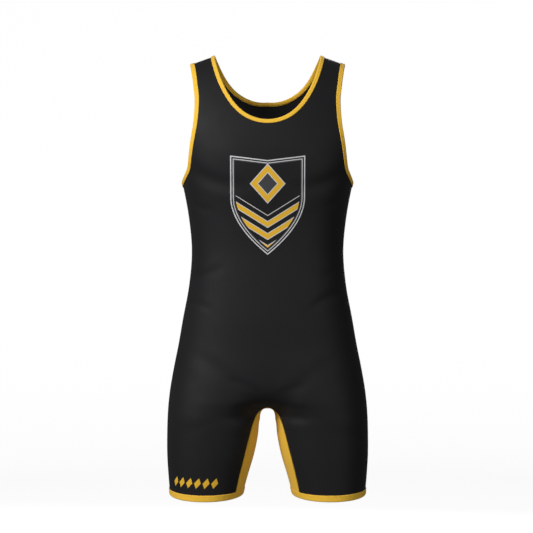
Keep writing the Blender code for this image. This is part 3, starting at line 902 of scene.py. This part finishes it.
# Binding stitches: twin rows of yellow thread hold each strip. Outside, the thread shows as a short dash
# for each stitch, and inside, a third thread loops from row to row.
THREAD = 0.00021
THREAD_CORNERS = 6
STITCH = 0.0027
NEEDLE_ROWS = (0.20, 0.56)


def evenly(line, normals, pitch, points_a_stitch):
    """A closed or open line and its normals, read again at even distances, so that it holds a whole
    number of stitches."""
    far = np.concatenate([[0], np.cumsum(np.linalg.norm(np.diff(line, axis=0), axis=-1))])
    stitches = max(1, round(far[-1] / pitch))
    at = np.linspace(0, far[-1], stitches * points_a_stitch + 1)
    return [np.stack([np.interp(at, far, v[:, k]) for k in range(3)], axis=-1) for v in (line, normals)]


def ahead_of(path, closed):
    """Which way a line runs at each of its points, from the points on either side."""
    ahead = np.roll(path, -1, axis=0) - np.roll(path, 1, axis=0)
    if not closed:
        ahead[[0, -1]] = path[1] - path[0], path[-1] - path[-2]
    return ahead


def thread(name, line, normals, offsets, finish, closed):
    """A sewn thread: a section of a few corners, carried along the line. Each stitch repeats the offsets,
    a row of distances sideways and outwards, and an open thread tapers shut at both ends."""
    offsets = np.array(offsets)
    points, normals = evenly(line, normals, STITCH, len(offsets))
    if closed:
        points, normals = points[:-1], normals[:-1]
    pattern = np.resize(offsets, (len(points), 2))
    normals = unit(normals)
    sideways = unit(np.cross(ahead_of(points, closed), normals))
    path = points + sideways * pattern[:, :1] + normals * pattern[:, 1:]
    tangent = ahead_of(path, closed)
    across = unit(np.cross(tangent, normals))
    out = unit(np.cross(across, tangent))
    radius = np.full((len(path), 1, 1), THREAD)
    if not closed:
        radius[[0, -1]] = THREAD * 0.2
    turns = np.linspace(0, 2 * math.pi, THREAD_CORNERS, endpoint=False)[:, None]
    rings = path[:, None] + radius * (np.cos(turns) * across[:, None] + np.sin(turns) * out[:, None])
    faces = sweep_faces(*rings.shape[:2], closed).tolist()
    if not closed:
        first_ring, end = list(range(THREAD_CORNERS)), len(path) * THREAD_CORNERS
        faces += [first_ring[::-1], list(range(end - THREAD_CORNERS, end))]
    mesh = bpy.data.meshes.new(name)
    mesh.from_pydata(rings.reshape(-1, 3).tolist(), [], faces)
    made = sewn(name, mesh, finish)
    return made


def thread_finish(name, dark, light, roughness):
    """Spun polyester thread: fine fibres that vary its colour along it."""
    finish, shader, wire = new_finish(name, roughness, 0.05)
    place = wire.node("ShaderNodeTexCoord", {}, {}, output=3)
    fibres = noise(place, 1800.0, 2.0)
    dress(finish, shader, place, fibres, fibres.blend(dark, light), 0.4)
    return finish


yellow_thread = thread_finish("yellow_thread", (0.62, 0.33, 0.020, 1), (0.80, 0.47, 0.045, 1), 0.5)
DASH = ((0, -0.00045), (0, 0.00012), (0, 0.00020), (0, 0.00020), (0, 0.00012), (0, -0.00045))
LOOP = ((-0.0016, 0.00005), (-0.0005, 0.00022), (0.0016, 0.00005), (0.0005, 0.00022))


def stitch_row(name, line, normals, offsets):
    """A closed row of yellow stitches, whose line ends where it starts."""
    line, normals = np.append(line, line[:1], axis=0), np.append(normals, normals[:1], axis=0)
    return thread(name, line, normals, offsets, yellow_thread, True)


for place_name, (edge, foot, outward) in rings.items():
    width, over, up = section_axes(edge, foot, outward)
    for number, share in enumerate(NEEDLE_ROWS):
        line = foot + over * width * share + up * (LEAF_OUT + BINDING_LEAF - 0.0001)
        stitch_row(f"needle_row_{place_name}_{number}", line, up, DASH)
    middle_share = sum(NEEDLE_ROWS) / 2
    line = foot + over * width * middle_share + up * (LEAF_IN - BINDING_LEAF - 0.0001)
    stitch_row(f"looper_row_{place_name}", line, -up, LOOP)

# Side, shoulder and gusset seams: flat seams, whose two cloths meet edge to edge under a zigzag of black
# thread. They run from binding to binding, and each ends just short of the strip.
FLAT_POINTS = ((-0.0014, 0.00025), (0.0014, 0.00025))
ZIGZAG = ((-0.0019, -0.0001), *FLAT_POINTS, (0.0019, -0.0001), *FLAT_POINTS[::-1])
CLEAR_OF_STRIP = 0.0004
SIDE_POINTS, SHOULDER_POINTS, GUSSET_POINTS = 240, 40, 160
ON_RIDGE = 1e-4
black_thread = thread_finish("black_thread", (0.012, 0.012, 0.013, 1), (0.030, 0.030, 0.032, 1), 0.55)


def seam_line(angle, way, side, hand):
    """A seam's line on the cloth with its normals."""
    return on_cloth(angle, way, side, hand), directions(angle, way, side)[2] * np.array([hand, 1, 1])


def flat_seam(name, line, normals):
    return thread(name, line, normals, ZIGZAG, black_thread, False)


def halfway_seam(name, angle, way, hand):
    """A seam where the front meets the back, so its line and its normals have no depth."""
    line, normals = seam_line(angle, way, FRONT, hand)
    line[:, 1], normals[:, 1] = 0, 0
    return flat_seam(name, line, unit(normals))


for hand, end in ((1, "left"), (-1, "right")):
    ends = np.array([LEG_END - LEG_BAND - CLEAR_OF_STRIP, UNDERARM + ARM_BINDING + CLEAR_OF_STRIP])
    flank = np.linspace(*way_down(ends), SIDE_POINTS)
    halfway_seam(f"side_seam_{end}", np.full(flank.shape, math.pi / 2), flank, hand)
    neck_foot, arm_foot = neck_stations(FRONT)[1][0][-1], armhole_stations(FRONT)[1][0][-1]
    over_strap = np.linspace(neck_foot, arm_foot, SHOULDER_POINTS)[1:-1]
    on_ridge = np.full(over_strap.shape, ON_RIDGE)
    halfway_seam(f"shoulder_seam_{end}", over_strap, on_ridge, hand)
for side, place_name in ((FRONT, "front"), (BACK, "back")):
    at = np.linspace(0, SEAM_AT_BAND - STATION_STEP, GUSSET_POINTS)
    halves = [seam_line(*moved_in(gusset_edge, side, at, -SEAM_GAP), side, hand) for hand in (1, -1)]
    line, normals = (np.concatenate([a[::-1], b[1:]]) for a, b in zip(*halves))
    line[len(at) - 1, 0] = normals[len(at) - 1, 0] = 0
    flat_seam(f"gusset_seam_{place_name}", line, normals)


# Studio: a pale floor that curves up into a wall all round, soft light from the left, a weaker fill from
# the right, and the camera straight in front at the height of the belly.
FLOOR = -1.49
PHOTO_PIXELS = 533
METRES_A_PIXEL = 0.00187
MIDDLE_PIXEL_SHIFT = 1.1
CAMERA_AWAY = 2.5
CAMERA_HEIGHT = -0.385
WALL_RIM_POINTS = 129


def studio():
    """A round floor whose rim turns up into a wall: a flat run, a quarter circle, and a straight rise."""
    flat, bend, rise = 4.6, 1.6, 2.4
    turn = np.linspace(0, math.pi / 2, 17)
    radius = np.concatenate([[0.001, 2.0], flat + bend * np.sin(turn), [flat + bend]])
    height = np.concatenate([[0, 0], bend * (1 - np.cos(turn)), [bend + rise]]) + FLOOR
    round_it = np.linspace(0, 2 * math.pi, WALL_RIM_POINTS)
    across, away = np.outer(radius, np.cos(round_it)), np.outer(radius, np.sin(round_it))
    points = np.stack([across, away, np.outer(height, np.ones(WALL_RIM_POINTS))], axis=-1)
    numbers = np.arange(points[..., 0].size).reshape(points.shape[:2])
    mesh = bpy.data.meshes.new("studio")
    mesh.from_pydata(points.reshape(-1, 3).tolist(), [], grid_faces(numbers, True).tolist())
    mesh.shade_smooth()
    made = placed("studio", mesh)
    paper = bpy.data.materials.new("pale_paper")
    paper.use_nodes = True
    shader = paper.node_tree.nodes["Principled BSDF"]
    shader.inputs["Base Color"].default_value = (0.60, 0.60, 0.60, 1)
    shader.inputs["Roughness"].default_value = 0.9
    shader.inputs["Emission Color"].default_value = (1, 1, 1, 1)
    shader.inputs["Emission Strength"].default_value = 0.85
    mesh.materials.append(paper)
    made.visible_diffuse = False
    made.visible_glossy = False
    made.visible_shadow = False


def soft_light(name, place, target, size, watts):
    """A square light that faces its target: tipped from straight down, then turned about the upright."""
    data = bpy.data.lights.new(name, "AREA")
    data.energy = watts
    data.size = size
    made = placed(name, data)
    made.location = place
    away = np.subtract(place, target)
    tip = math.acos(away[2] / np.linalg.norm(away))
    made.rotation_euler = (tip, 0, math.atan2(away[1], away[0]) + math.pi / 2)


studio()
soft_light("key", (-2.2, -2.2, 1.1), (0, 0, -0.35), 1.5, 134)
soft_light("fill", (1.7, -2.6, -0.3), (0, 0, -0.65), 1.4, 26)
soft_light("back_light", (0.3, 3.0, 0.6), (0, 0, -0.35), 1.6, 45)
world = bpy.data.worlds.new("studio_air")
world.use_nodes = True
world.node_tree.nodes["Background"].inputs[0].default_value = (1, 1, 1, 1)
world.node_tree.nodes["Background"].inputs[1].default_value = 0.08
bpy.context.scene.world = world
bpy.context.scene.view_settings.view_transform = "Standard"

camera_data = bpy.data.cameras.new("camera")
camera_data.lens = camera_data.sensor_width * CAMERA_AWAY / (PHOTO_PIXELS * METRES_A_PIXEL)
camera = placed("camera", camera_data)
camera.location = (-MIDDLE_PIXEL_SHIFT * METRES_A_PIXEL, -CAMERA_AWAY, CAMERA_HEIGHT)
camera.rotation_euler = (math.pi / 2, 0, 0)
bpy.context.scene.camera = camera
